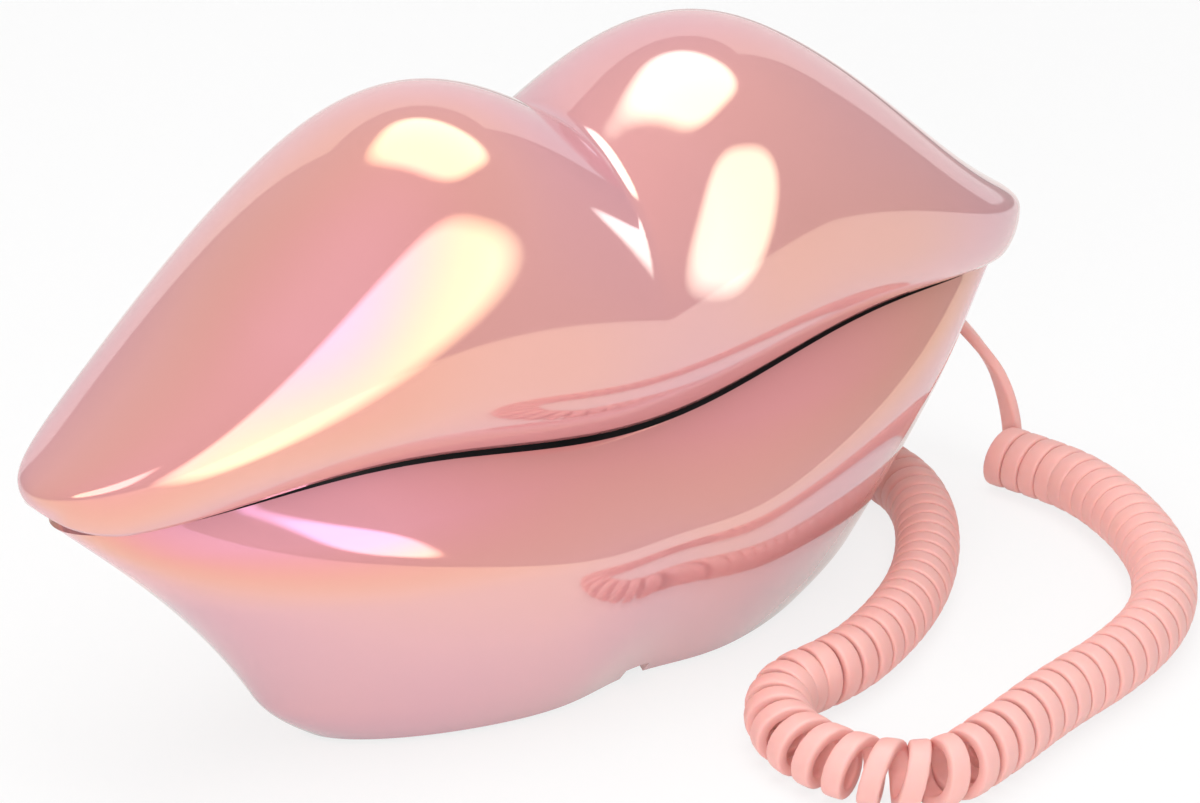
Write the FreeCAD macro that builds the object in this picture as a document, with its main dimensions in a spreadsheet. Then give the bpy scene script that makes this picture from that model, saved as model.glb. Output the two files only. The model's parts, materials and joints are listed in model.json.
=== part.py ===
"""Corded novelty telephone: an upper-lip handset that rests on a lower-lip base.

Frame: origin on the table under the middle of the lips, +X to the right along the lips,
-Y to the front, +Z up. Millimetres.
"""
import FreeCAD, Part
import math
import os
import re
from FreeCAD import Rotation, Vector

doc = FreeCAD.newDocument("LipsTelephone")

# Driving sizes: millimetres, degrees, counts and plain ratios
SIZES = {
    # lips as a whole
    "half_length": 112.5,
    "lip_half_depth": 33.0,
    "wall": 2.2,
    "clearance": 0.25,
    "press_play": 0.1,
    "joint_sink": 0.5,
    "overcut": 1.0,
    # wave of the mouth line
    "mouth_height": 53.8,
    "mouth_tip_rise": 1.05,
    "mouth_wave": 5.44,
    "mouth_gap": 1.5,
    "mouth_gap_tip": 0.6,
    # upper lip
    "dome_low": 13.2,
    "dome_high": 40.7,
    "bow_depth": 0.33,
    "bow_reach": 0.43,
    "bulge_rise": 14.0,
    "edge_angle": 34.7,
    "roundness": 0.95,
    "tip_share": 0.12,
    # lower lip
    "foot_gap": 0.8,
    "foot_half_length": 65.5,
    "foot_half_depth": 23.5,
    "foot_forward": -3.1,
    "foot_fullness": 0.76,
    "toe_round": 6.0,
    "toe_level": 0.16,
    "rim_half_length": 107.3,
    "rim_half_depth": 27.0,
    "belly_half_depth": 39.5,
    "belly_level": 0.63,
    "flare_power": 1.31,
    "chin_dimple": 4.1,
    "chin_width": 14.0,
    "chin_notch": 5.5,
    "chin_notch_height": 2.5,
    "chin_notch_depth": 12.0,
    # handset face
    "face_height": 61.0,
    "face_thick": 2.0,
    "cup_reach": 62.0,
    "cup_radius": 16.0,
    "cup_depth": 10.0,
    "cup_wall": 2.0,
    "grille_hole": 1.1,
    "grille_ring": 6.5,
    "speaker_radius": 13.6,
    "speaker_height": 6.0,
    "magnet_radius": 8.2,
    "ear_ring_thick": 2.0,
    "ear_ring_play": 0.6,
    "mic_radius": 4.85,
    "mic_height": 6.5,
    # keys
    "key_pitch_x": 12.0,
    "key_pitch_y": 11.0,
    "key_length": 8.4,
    "key_width": 6.6,
    "key_corner": 1.6,
    "key_proud": 2.2,
    "key_play": 0.3,
    "key_flange": 0.8,
    "key_flange_thick": 1.0,
    "key_travel": 1.2,
    "mat_thick": 1.0,
    "board_thick": 1.6,
    "board_margin_x": 0.5,
    "board_margin_y": 1.5,
    # screws and posts
    "screw_radius": 1.2,
    "screw_head": 2.6,
    "screw_head_thick": 1.6,
    "screw_play": 0.2,
    "screw_bite": 8.0,
    "bore_spare": 2.0,
    "head_lift": 0.3,
    "boss_radius": 3.5,
    "stake_radius": 2.2,
    "pin_radius": 1.1,
    "pin_rise": 0.6,
    "stake_inset": 4.0,
    "handset_boss_x": 44.0,
    "handset_boss_y": 15.0,
    "handset_stake_x": 32.6,
    "handset_stake_y": 12.0,
    "base_boss_x": 43.0,
    "base_boss_y": 7.5,
    # base deck, hook and board
    "deck_height": 47.0,
    "deck_thick": 2.0,
    "pad_gap": 0.1,
    "rest_inset": 1.0,
    "rest_wall": 4.0,
    "hanger_depth": 6.0,
    "collar_rise": 1.9,
    "collar_wall": 1.6,
    "hook_x": 33.0,
    "hook_radius": 4.0,
    "hook_stem": 2.4,
    "hook_collar": 6.0,
    "hook_collar_thick": 2.0,
    "hook_travel": 4.0,
    "hook_room": 12.0,
    "spring_wire": 0.8,
    "spring_radius": 5.3,
    "spring_turns": 5.0,
    "switch_side": 6.0,
    "switch_height": 3.5,
    "switch_button": 1.7,
    "switch_button_rise": 1.8,
    "board_height": 30.0,
    "board_left": -22.0,
    "board_right": 38.5,
    "board_half_depth": 13.0,
    # bottom
    "bottom_height": 1.2,
    "bottom_thick": 2.0,
    "pad_radius": 5.0,
    "pad_x": 33.0,
    "pad_y": 8.5,
    "ringer_radius": 13.0,
    "ringer_height": 5.0,
    "ringer_forward": 4.0,
    "ringer_port_radius": 2.0,
    "ringer_floor": 1.5,
    # line jack, ringer switch and cord sleeves
    "jack_x": -18.0,
    "jack_floor": 27.0,
    "jack_width": 13.0,
    "jack_height": 12.0,
    "jack_inner_y": 17.0,
    "jack_socket_width": 9.65,
    "jack_socket_height": 6.6,
    "jack_socket_depth": 12.0,
    "jack_key_depth": 1.6,
    "jack_proud": 0.4,
    "ringer_switch_floor": 31.0,
    "ringer_switch_inner_y": 17.0,
    "ringer_switch_width": 13.0,
    "ringer_switch_height": 6.0,
    "knob_length": 4.0,
    "knob_height": 3.0,
    "knob_proud": 1.2,
    "knob_depth": 7.0,
    "knob_play": 0.4,
    "knob_travel": 3.0,
    "sleeve_radius": 3.6,
    "sleeve_bead": 4.8,
    "sleeve_proud": 6.0,
    "sleeve_inside": 8.0,
    "sleeve_bead_thick": 2.0,
    "sleeve_tip": 2.0,
    "sleeve_step": 0.8,
    "base_sleeve_x": 42.0,
    "base_sleeve_z": 13.0,
    "handset_sleeve_x": 84.0,
    "handset_sleeve_z": 69.0,
    # curly cord
    "wire": 2.4,
    "curl_radius": 5.1,
    "curl_pitch": 4.3,
    "curl_pitch_open": 5.8,
    "curl_open_middle": 0.5,
    "curl_open_width": 0.11,
    "curl_ease": 10.8,
    "curl_ease_stretch": 1.5,
    "curl_lead": 2.6,
    "tail_lead": 12.0,
    "tail_drop": 8.0,
    "cord_lift": 0.2,
}

sheet = doc.addObject("Spreadsheet::Sheet", "Sizes")
for row, (alias, value) in enumerate(SIZES.items(), start=1):
    sheet.set("A%d" % row, alias.replace("_", " "))
    sheet.set("B%d" % row, str(value))
    sheet.setAlias("B%d" % row, alias)
doc.recompute()


def size(alias):
    """Value of a named size on the sheet."""
    return float(sheet.get(alias))


def linked(text):
    """Expression text with every size name pointed at the sheet."""
    def point(match):
        word = match.group(0)
        return "Sizes." + word if word in SIZES else word

    return re.sub(r"[a-z_]+", point, str(text))


def place(obj, x, y, z):
    """Tie an object's position to the sheet."""
    for axis, text in zip("xyz", (x, y, z)):
        obj.setExpression("Placement.Base." + axis, linked(text))
    return obj


def box(name, length, width, height, x, y, z):
    """Block centred on x and y that stands on z."""
    obj = doc.addObject("Part::Box", name)
    obj.setExpression("Length", linked(length))
    obj.setExpression("Width", linked(width))
    obj.setExpression("Height", linked(height))
    return place(obj, "(%s) - (%s) / 2" % (x, length), "(%s) - (%s) / 2" % (y, width), z)


def cylinder(name, radius, height, x, y, z, along_y=False):
    """Cylinder that starts at x, y, z and runs up, or to the rear."""
    obj = doc.addObject("Part::Cylinder", name)
    obj.setExpression("Radius", linked(radius))
    obj.setExpression("Height", linked(height))
    if along_y:
        obj.Placement.Rotation = Rotation(Vector(1, 0, 0), -90)
    return place(obj, x, y, z)


def solid(name, shape):
    """Freeform solid that no primitive fits."""
    obj = doc.addObject("Part::Feature", name)
    obj.Shape = shape
    return obj


def fuse(name, parts):
    """Parts joined into one."""
    obj = doc.addObject("Part::MultiFuse", name)
    obj.Shapes = parts
    return obj


def common(name, parts):
    """What all parts share."""
    obj = doc.addObject("Part::MultiCommon", name)
    obj.Shapes = parts
    return obj


def cut(name, base, tools):
    """Base less one or several tools."""
    obj = doc.addObject("Part::Cut", name)
    obj.Base = base
    obj.Tool = tools[0] if len(tools) == 1 else fuse(name + "_tools", tools)
    return obj


# Freeform lips

def mouth(u):
    """Height of the mouth line at share u of the half length."""
    wave = size("mouth_tip_rise") * (1 - math.cos(math.pi * u)) / 2
    return size("mouth_height") + wave + size("mouth_wave") * (1 - math.cos(2 * math.pi * u)) / 2


def lower_rim(u):
    """Height of the lower lip's rim, which leaves the black gap under the mouth line."""
    return mouth(u) - size("mouth_gap") + (size("mouth_gap") - size("mouth_gap_tip")) * u * u


def power(value, exponent):
    """Power that keeps the sign."""
    return math.copysign(abs(value) ** exponent, value)


def upper_section(x, inset):
    """Closed outline of the upper lip across the lips at x, drawn in by inset."""
    u = x / size("half_length")
    c = math.sqrt(max(0.0, 1 - (x / (size("half_length") - inset)) ** 2))
    lobe = 1 - size("bow_depth") * max(0.0, 1 - u / size("bow_reach")) ** 2
    half_depth = (size("lip_half_depth") - inset) * c
    rise = ((size("dome_low") - inset) * c + size("dome_high") * c ** 4) * lobe
    belly = mouth(u) + size("bulge_rise") * (1 - 0.5 * u * u)
    edge = math.radians(size("edge_angle"))
    tip_start = 1 - size("tip_share")
    tip = 1.0 if u < tip_start else math.sqrt(1 - ((u - tip_start) / size("tip_share")) ** 2)
    drop = (belly - mouth(u)) / math.sin(edge) ** size("roundness") * tip
    steps = 28
    dome = []
    for i in range(steps + 1):
        angle = -edge + (math.pi + 2 * edge) * i / steps
        y = -half_depth * power(math.cos(angle), size("roundness"))
        reach = rise if math.sin(angle) > 0 else drop
        dome.append(Vector(x, y, belly + reach * power(math.sin(angle), size("roundness"))))
    curve = Part.BSplineCurve()
    curve.interpolate(dome)
    edges = [curve.toShape()]
    corners = [dome[-1], dome[0]]
    if inset > 0:
        below = Vector(0, 0, -size("bulge_rise"))
        corners = [dome[-1], dome[-1] + below, dome[0] + below, dome[0]]
    for start, end in zip(corners, corners[1:]):
        edges.append(Part.LineSegment(start, end).toShape())
    return Part.Wire(edges)


def upper_lip(inset):
    """Solid upper lip with its cupid's bow crease in the middle."""
    reach = size("half_length") - inset
    stations = [0, 6, 13, 22, 32, 42, 52, 61, 69, 76, 82, 86.5]
    wires = [upper_section(reach * math.sin(math.radians(a)), inset) for a in stations]
    half = Part.makeLoft(wires, True, False)
    return half.fuse(half.mirror(Vector(0, 0, 0), Vector(1, 0, 0))).removeSplitter()


def lower_reach(t, inset):
    """Half length of the lower lip at level t."""
    flare = (size("rim_half_length") - size("foot_half_length")) * t ** size("flare_power")
    toe = size("toe_round") * max(0.0, 1 - t / size("toe_level")) ** 2
    return size("foot_half_length") + flare - toe - inset


def lower_depth(t, inset):
    """Half depth of the lower lip at level t: out to the belly, then in to the rim."""
    foot, belly, rim = size("foot_half_depth"), size("belly_half_depth"), size("rim_half_depth")
    level = size("belly_level")
    if t < level:
        depth = foot + (belly - foot) * math.sin(t / level * math.pi / 2)
    else:
        depth = rim + (belly - rim) * math.cos((t - level) / (1 - level) * math.pi / 2)
    return depth - inset


def lower_point(t, angle, inset):
    """Point of the lower lip at level t and plan angle."""
    x = lower_reach(t, inset) * math.cos(angle)
    s = math.sin(angle)
    full = size("foot_fullness") + (1 - size("foot_fullness")) * t
    side = math.copysign(full * abs(s) + (1 - full) * s * s, s)
    y = size("foot_forward") * (1 - t) + side * lower_depth(t, inset)
    if s < 0:
        y += size("chin_dimple") * (1 - t) * math.exp(-(x / size("chin_width")) ** 2)
    u = min(1.0, abs(x) / size("half_length"))
    z = size("foot_gap") + t * (lower_rim(u) - size("foot_gap"))
    return Vector(x, y, z)


def lower_ring(t, inset, flat=None):
    """Closed outline at level t, or the same outline laid flat at a height."""
    count = 64
    points = []
    for i in range(count):
        p = lower_point(t, math.pi / 2 + 2 * math.pi * i / count, inset)
        points.append(Vector(p.x, p.y, p.z if flat is None else flat))
    curve = Part.BSplineCurve()
    curve.interpolate(points, PeriodicFlag=True)
    return Part.Wire([curve.toShape()])


def lower_lip(inset):
    """Solid lower lip, carried on straight above its rim so that the wave can be cut."""
    top = size("mouth_height") + 2 * size("mouth_wave")
    levels = [0.07, 0.16, 0.28, 0.42, 0.53, 0.63, 0.74, 0.84, 0.93, 1.0]
    foot = -size("overcut") if inset > 0 else size("foot_gap")
    rings = [lower_ring(0.0, inset, foot)]
    rings += [lower_ring(t, inset) for t in levels]
    rings.append(lower_ring(1.0, inset, top))
    return Part.makeLoft(rings, True, False)


def above_rim(lift):
    """Everything above the lower lip's wavy rim, or above a line a little higher."""
    reach, depth, top = 1.1 * size("half_length"), 2 * size("lip_half_depth"), 2 * size("mouth_height")
    count = 40
    line = []
    for i in range(count + 1):
        x = -reach + 2 * reach * i / count
        line.append(Vector(x, -depth, lower_rim(min(1.0, abs(x) / size("half_length"))) + lift))
    curve = Part.BSplineCurve()
    curve.interpolate(line)
    corners = [line[-1], Vector(reach, -depth, top), Vector(-reach, -depth, top), line[0]]
    edges = [curve.toShape()]
    edges += [Part.LineSegment(a, b).toShape() for a, b in zip(corners, corners[1:])]
    return Part.Face(Part.Wire(edges)).extrude(Vector(0, 2 * depth, 0))


def rear_of_base(x, z):
    """Rear surface of the lower lip at x and height z."""
    u = abs(x) / size("half_length")
    t = (z - size("foot_gap")) / (lower_rim(u) - size("foot_gap"))
    return lower_point(t, math.acos(x / lower_reach(t, 0)), 0).y


def rear_of_handset(x):
    """Rear surface of the upper lip at its fullest height."""
    return size("lip_half_depth") * math.sqrt(1 - (x / size("half_length")) ** 2)


upper_outer = solid("upper_outer", upper_lip(0))
upper_inner = solid("upper_inner", upper_lip(size("wall")))
upper_room = solid("upper_room", upper_lip(size("wall") + size("clearance")))
lower_outer = solid("lower_outer", lower_lip(0))
lower_inner = solid("lower_inner", lower_lip(size("wall")))
lower_room = solid("lower_room", lower_lip(size("wall") + size("clearance")))
lower_core = solid("lower_core", lower_lip(size("wall") + size("clearance") + size("collar_wall")))
rim_cutter = solid("rim_cutter", above_rim(0))
collar_cutter = solid("collar_cutter", above_rim(size("collar_rise")))

NODES = {}
MIRRORS = [(-1, -1), (1, -1), (1, 1), (-1, 1)]


def node(name, obj):
    """Keep an object as a named sub-part."""
    NODES[name] = obj
    return obj


# Upper lip shell with its four screw bosses and the cord hole

FACE_TOP = "face_height + face_thick"
FACE_CUT = "face_thick + 2 * overcut"
FACE_CUT_START = "face_height - overcut"
HANDSET_REAR = rear_of_handset(size("handset_sleeve_x"))
bosses = []
for number, (sx, sy) in enumerate(MIRRORS, start=1):
    bosses.append(cylinder("upper_boss_%d" % number, "boss_radius", "mouth_height", "%d * handset_boss_x" % sx,
                           "%d * handset_boss_y" % sy, FACE_TOP))
boss_posts = common("upper_boss_posts", [fuse("upper_bosses", bosses), upper_outer])
upper_hollow = cut("upper_hollow", upper_outer, [upper_inner])
boss_bores = [cylinder("upper_bore_%d" % n, "screw_radius", "screw_bite + bore_spare",
                       "%d * handset_boss_x" % sx, "%d * handset_boss_y" % sy, FACE_TOP)
              for n, (sx, sy) in enumerate(MIRRORS, start=1)]
upper_cord_hole = cylinder("upper_cord_hole", "sleeve_radius + clearance", "4 * sleeve_proud", "handset_sleeve_x",
                           "%f - sleeve_inside" % HANDSET_REAR, "handset_sleeve_z", along_y=True)
node("handset_shell", cut("handset_shell", fuse("upper_body", [upper_hollow, boss_posts]),
                          boss_bores + [upper_cord_hole]))

# Handset face with ear and mouth cups, key holes and board stakes

slab = box("face_slab", "2 * half_length", "2 * lip_half_depth", "face_thick", "0", "0", "face_height")
face_parts = [common("face_plate", [slab, upper_room])]
face_cuts = []
GRILLE_HOLES = 6
GRILLE_STEP = 360 // GRILLE_HOLES
GRILLE_START = "face_height - cup_depth - overcut"
for side, sign in (("ear", -1), ("mouth", 1)):
    x = "%d * cup_reach" % sign
    face_parts.append(cylinder(side + "_cup", "cup_radius", "cup_depth", x, "0", "face_height - cup_depth"))
    face_cuts.append(cylinder(side + "_cup_hollow", "cup_radius - cup_wall", "cup_depth + face_thick", x, "0",
                              "face_height - cup_depth + cup_wall"))
    face_cuts.append(cylinder(side + "_hole_0", "grille_hole", "cup_depth", x, "0", GRILLE_START))
    for i in range(GRILLE_HOLES):
        face_cuts.append(cylinder("%s_hole_%d" % (side, i + 1), "grille_hole", "cup_depth",
                                  "%s + grille_ring * cos(%d deg)" % (x, GRILLE_STEP * i),
                                  "grille_ring * sin(%d deg)" % (GRILLE_STEP * i), GRILLE_START))
MAT_Z = "face_height + face_thick + key_flange_thick + key_travel + clearance"
BOARD_Z = MAT_Z + " + mat_thick"
BOARD_WIDTH = "2 * (handset_stake_y + stake_radius + board_margin_y)"
for number, (sx, sy) in enumerate(MIRRORS, start=1):
    x, y = "%d * handset_stake_x" % sx, "%d * handset_stake_y" % sy
    face_parts.append(cylinder("face_stake_%d" % number, "stake_radius", BOARD_Z + " - face_height", x, y,
                               "face_height"))
    face_parts.append(cylinder("face_pin_%d" % number, "pin_radius", "board_thick + pin_rise", x, y, BOARD_Z))
    bx, by = "%d * handset_boss_x" % sx, "%d * handset_boss_y" % sy
    face_cuts.append(cylinder("face_screw_hole_%d" % number, "screw_radius + screw_play", FACE_CUT, bx, by,
                              FACE_CUT_START))

# Keys: three columns across the lips, five rows along them
KEY_ROWS = [("1", "2", "3"), ("4", "5", "6"), ("7", "8", "9"), ("star", "0", "hash"), ("redial", "mute", "flash")]
for row, names in enumerate(KEY_ROWS):
    for column, name in enumerate(names):
        x, y = "%d * key_pitch_x" % (row - 2), "%d * key_pitch_y" % (1 - column)
        face_cuts.append(box("key_hole_" + name, "key_length + 2 * key_play", "key_width + 2 * key_play",
                             FACE_CUT, x, y, FACE_CUT_START))
        cap = box("key_block_" + name, "key_length", "key_width", "key_proud + face_thick + key_flange_thick", x, y,
                  "face_height - key_proud")
        flange = box("key_flange_" + name, "key_length + 2 * key_flange", "key_width + 2 * key_flange",
                     "key_flange_thick", x, y, FACE_TOP)
        doc.recompute()
        rounded = doc.addObject("Part::Fillet", "key_cap_" + name)
        rounded.Base = cap
        upright = [i for i, e in enumerate(cap.Shape.Edges, start=1) if abs(e.tangentAt(e.FirstParameter).z) > 0.9]
        rounded.Edges = [(i, size("key_corner"), size("key_corner")) for i in upright]
        node("key_" + name, fuse("key_" + name, [rounded, flange]))
node("handset_face", cut("handset_face", fuse("face_body", face_parts), face_cuts))

MAT_LENGTH = "2 * (handset_stake_x - stake_radius - clearance)"
node("keypad_mat", box("keypad_mat", MAT_LENGTH, BOARD_WIDTH, "mat_thick", "0", "0", MAT_Z))
board = box("handset_board_blank", "2 * (handset_stake_x + stake_radius + board_margin_x)", BOARD_WIDTH,
            "board_thick", "0", "0", BOARD_Z)
board_holes = [cylinder("handset_board_hole_%d" % n, "pin_radius + press_play", "4 * board_thick",
                        "%d * handset_stake_x" % sx, "%d * handset_stake_y" % sy, BOARD_Z + " - board_thick")
               for n, (sx, sy) in enumerate(MIRRORS, start=1)]
node("handset_board", cut("handset_board", board, board_holes))

# Earpiece, microphone and their holders
CUP_FLOOR = "face_height - cup_depth + cup_wall"
node("ear_speaker", fuse("ear_speaker", [
    cylinder("speaker_basket", "speaker_radius", "speaker_height / 2", "-cup_reach", "0", CUP_FLOOR),
    cylinder("speaker_magnet", "magnet_radius", "speaker_height", "-cup_reach", "0", CUP_FLOOR)]))
ring_z = CUP_FLOOR + " + speaker_height / 2"
ring_blank = cylinder("ear_ring_blank", "cup_radius - cup_wall - press_play", "ear_ring_thick", "-cup_reach", "0",
                      ring_z)
ring_hole = cylinder("ear_ring_hole", "magnet_radius + ear_ring_play", "2 * ear_ring_thick", "-cup_reach", "0",
                     ring_z + " - overcut")
node("ear_ring", cut("ear_ring", ring_blank, [ring_hole]))
boot_blank = cylinder("mic_boot_blank", "cup_radius - cup_wall - press_play", "mic_height", "cup_reach", "0",
                      CUP_FLOOR)
boot_hole = cylinder("mic_boot_hole", "mic_radius + press_play / 2", "2 * mic_height", "cup_reach", "0",
                     CUP_FLOOR + " - mic_height / 2")
node("mic_boot", cut("mic_boot", boot_blank, [boot_hole]))
node("microphone", cylinder("microphone", "mic_radius", "mic_height", "cup_reach", "0", CUP_FLOOR))

# Handset screws
for number, (sx, sy) in enumerate(MIRRORS, start=1):
    x, y = "%d * handset_boss_x" % sx, "%d * handset_boss_y" % sy
    node("handset_screw_%d" % number, fuse("handset_screw_%d" % number, [
        cylinder("handset_screw_head_%d" % number, "screw_head", "screw_head_thick", x, y,
                 "face_height - screw_head_thick"),
        cylinder("handset_screw_shank_%d" % number, "screw_radius", "face_thick + screw_bite", x, y, "face_height")]))


def sleeve(name, x, wall_y, z):
    """Cord sleeve through a rear wall: a shaft, a bead inside and a shorter tip outside."""
    return node(name, fuse(name, [
        cylinder(name + "_shaft", "sleeve_radius", "sleeve_proud + sleeve_inside", x,
                 "%f - sleeve_inside" % wall_y, z, along_y=True),
        cylinder(name + "_bead", "sleeve_bead", "sleeve_bead_thick", x,
                 "%f - sleeve_inside - sleeve_bead_thick" % wall_y, z, along_y=True),
        cylinder(name + "_tip", "sleeve_radius - sleeve_step", "sleeve_tip", x, "%f + sleeve_proud" % wall_y, z,
                 along_y=True)]))


BASE_REAR = rear_of_base(size("base_sleeve_x"), size("base_sleeve_z"))
sleeve("handset_sleeve", "handset_sleeve_x", HANDSET_REAR, "handset_sleeve_z")
sleeve("base_sleeve", "base_sleeve_x", BASE_REAR, "base_sleeve_z")

# Lower lip shell with its rear openings and the notch under the chin

jack_edge = size("jack_width") / 2
JACK_MOUTH = max(rear_of_base(size("jack_x") + sx * jack_edge, size("jack_floor") + h * size("jack_height"))
                 for sx in (-1, 1) for h in (0, 0.5, 1)) + size("jack_proud")
KNOB_REAR = rear_of_base(0.0, size("ringer_switch_floor") + size("ringer_switch_height") / 2)
CHIN_FRONT = -size("foot_half_depth") + size("foot_forward") + size("chin_dimple")
lower_cuts = [
    lower_inner,
    rim_cutter,
    box("chin_notch_cutter", "chin_notch", "chin_notch_depth", "chin_notch_height", "0", CHIN_FRONT, "foot_gap"),
    box("jack_window", "jack_width + 2 * clearance", "2 * jack_socket_depth", "jack_height + 2 * clearance",
        "jack_x", JACK_MOUTH, "jack_floor - clearance"),
    box("knob_slot", "knob_length + 2 * (knob_travel + knob_play)", "2 * knob_depth", "knob_height + 2 * knob_play",
        "0", KNOB_REAR, "ringer_switch_floor + (ringer_switch_height - knob_height) / 2 - knob_play"),
    cylinder("lower_cord_hole", "sleeve_radius + clearance", "4 * sleeve_proud", "base_sleeve_x",
             "%f - sleeve_inside" % BASE_REAR, "base_sleeve_z", along_y=True)]
node("base_shell", cut("base_shell", lower_outer, lower_cuts))

# Black cradle deck: rests for the cups, long screw posts and board stakes

DECK_TOP = "deck_height + deck_thick"
BOARD_TOP = "board_height + board_thick"
STAKES = [(x, sy) for x in ("board_left + stake_inset", "hook_x - hook_room") for sy in (-1, 1)]
deck_slab = box("deck_slab", "2 * half_length", "3 * lip_half_depth", "deck_thick", "0", "0", "deck_height")
deck_parts = [
    common("deck_plate", [deck_slab, lower_room]),
    box("jack_hanger", "jack_width", "hanger_depth", "deck_height + joint_sink - jack_floor - jack_height", "jack_x",
        "jack_inner_y + hanger_depth / 2", "jack_floor + jack_height"),
    box("ringer_switch_hanger", "ringer_switch_width", "hanger_depth",
        "deck_height + joint_sink - ringer_switch_floor - ringer_switch_height", "0",
        "ringer_switch_inner_y + hanger_depth / 2", "ringer_switch_floor + ringer_switch_height")]
deck_cuts = [cylinder("hook_hole", "hook_radius + clearance", "deck_thick + 2 * overcut", "hook_x", "0",
                      "deck_height - overcut")]
for side, sign in (("ear", -1), ("mouth", 1)):
    x = "%d * cup_reach" % sign
    deck_parts.append(cylinder(side + "_rest", "cup_radius - rest_inset",
                               "face_height - cup_depth - pad_gap - deck_height", x, "0", "deck_height"))
    deck_cuts.append(cylinder(side + "_rest_hollow", "cup_radius - rest_inset - rest_wall", "cup_depth", x, "0",
                              DECK_TOP))
for number, (sx, sy) in enumerate(MIRRORS, start=1):
    x, y = "%d * base_boss_x" % sx, "foot_forward + %d * base_boss_y" % sy
    deck_parts.append(cylinder("deck_post_%d" % number, "boss_radius",
                               "deck_height + joint_sink - bottom_height - bottom_thick", x, y,
                               "bottom_height + bottom_thick"))
    deck_cuts.append(cylinder("deck_post_bore_%d" % number, "screw_radius", "screw_bite + bore_spare", x, y,
                              "bottom_height + bottom_thick"))
for number, (x, sy) in enumerate(STAKES, start=1):
    y = "%d * (board_half_depth - stake_inset)" % sy
    deck_parts.append(cylinder("deck_stake_%d" % number, "stake_radius",
                               "deck_height + joint_sink - board_height - board_thick", x, y, BOARD_TOP))
    deck_parts.append(cylinder("deck_pin_%d" % number, "pin_radius", "board_thick + pin_rise + joint_sink", x, y,
                               "board_height - pin_rise"))
node("cradle_deck", cut("cradle_deck", fuse("deck_body", deck_parts), deck_cuts))
under_rim = box("under_rim", "3 * half_length", "4 * lip_half_depth", "deck_height + deck_thick + 2 * overcut", "0",
                "0", "-2 * overcut")
node("cradle_rim", cut("cradle_rim", lower_room, [lower_core, collar_cutter, under_rim]))

base_board = box("base_board_blank", "board_right - board_left", "2 * board_half_depth", "board_thick",
                 "(board_left + board_right) / 2", "0", "board_height")
base_board_holes = [cylinder("base_board_hole_%d" % n, "pin_radius + press_play", "4 * board_thick", x,
                             "%d * (board_half_depth - stake_inset)" % sy, "board_height - board_thick")
                    for n, (x, sy) in enumerate(STAKES, start=1)]
node("base_board", cut("base_board", base_board, base_board_holes))

# Hook: plunger under the handset face, spring round the switch
STEM_FOOT = "board_height + board_thick + switch_height + switch_button_rise + clearance"
COLLAR_Z = "deck_height - clearance - hook_travel - hook_collar_thick"
node("hook_plunger", fuse("hook_plunger", [
    cylinder("hook_button", "hook_radius", "face_height - pad_gap - (%s)" % COLLAR_Z, "hook_x", "0", COLLAR_Z),
    cylinder("hook_collar_disc", "hook_collar", "hook_collar_thick", "hook_x", "0", COLLAR_Z),
    cylinder("hook_stem_pin", "hook_stem", "(%s) - (%s) + joint_sink" % (COLLAR_Z, STEM_FOOT), "hook_x", "0",
             STEM_FOOT)]))
node("hook_switch", fuse("hook_switch", [
    box("hook_switch_body", "switch_side", "switch_side", "switch_height", "hook_x", "0", BOARD_TOP),
    cylinder("hook_switch_button", "switch_button", "switch_height + switch_button_rise", "hook_x", "0",
             BOARD_TOP)]))
spring_path = doc.addObject("Part::Helix", "spring_path")
SPRING_RUN = "((%s) - (%s) - spring_wire - 2 * pad_gap)" % (COLLAR_Z, BOARD_TOP)
spring_path.setExpression("Radius", linked("spring_radius"))
spring_path.setExpression("Height", linked(SPRING_RUN))
spring_path.setExpression("Pitch", linked(SPRING_RUN + " / spring_turns"))
place(spring_path, "hook_x", "0", BOARD_TOP + " + spring_wire / 2 + pad_gap")
spring_profile = doc.addObject("Part::Circle", "spring_profile")
spring_profile.setExpression("Radius", linked("spring_wire / 2"))
spring_profile.Placement.Rotation = Rotation(Vector(1, 0, 0), 90)
place(spring_profile, "hook_x + spring_radius", "0", BOARD_TOP + " + spring_wire / 2 + pad_gap")
doc.recompute()
spring = doc.addObject("Part::Sweep", "hook_spring")
spring.Sections = [spring_profile]
spring.Spine = (spring_path, [])
spring.Solid = True
spring.Frenet = True
node("hook_spring", spring)

# Bottom plate with its pedestals, sound holes and screws

BOTTOM_TOP = "bottom_height + bottom_thick"
bottom_slab = box("bottom_slab", "2 * half_length", "3 * lip_half_depth", "bottom_thick", "0", "0", "bottom_height")
bottom_blank = common("bottom_blank", [bottom_slab, lower_room])
bottom_cuts = []
for number, (sx, sy) in enumerate(MIRRORS, start=1):
    x, y = "%d * base_boss_x" % sx, "foot_forward + %d * base_boss_y" % sy
    bottom_cuts.append(cylinder("bottom_screw_hole_%d" % number, "screw_radius + screw_play", "2 * bottom_thick", x,
                                y, "bottom_height - overcut"))
    node("base_screw_%d" % number, fuse("base_screw_%d" % number, [
        cylinder("base_screw_head_%d" % number, "screw_head", "bottom_height - head_lift", x, y,
                 "head_lift"),
        cylinder("base_screw_shank_%d" % number, "screw_radius", "bottom_thick + screw_bite", x, y,
                 "bottom_height")]))
    node("foot_%d" % number, cylinder("foot_%d" % number, "pad_radius", "bottom_height", "%d * pad_x" % sx,
                                      "foot_forward + %d * pad_y" % sy, "0"))
RINGER_Y = "foot_forward - ringer_forward"
for i in range(GRILLE_HOLES):
    bottom_cuts.append(cylinder("sound_hole_%d" % i, "grille_hole", "2 * bottom_thick",
                                "grille_ring * cos(%d deg)" % (GRILLE_STEP * i),
                                "%s + grille_ring * sin(%d deg)" % (RINGER_Y, GRILLE_STEP * i),
                                "bottom_height - overcut"))
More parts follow.
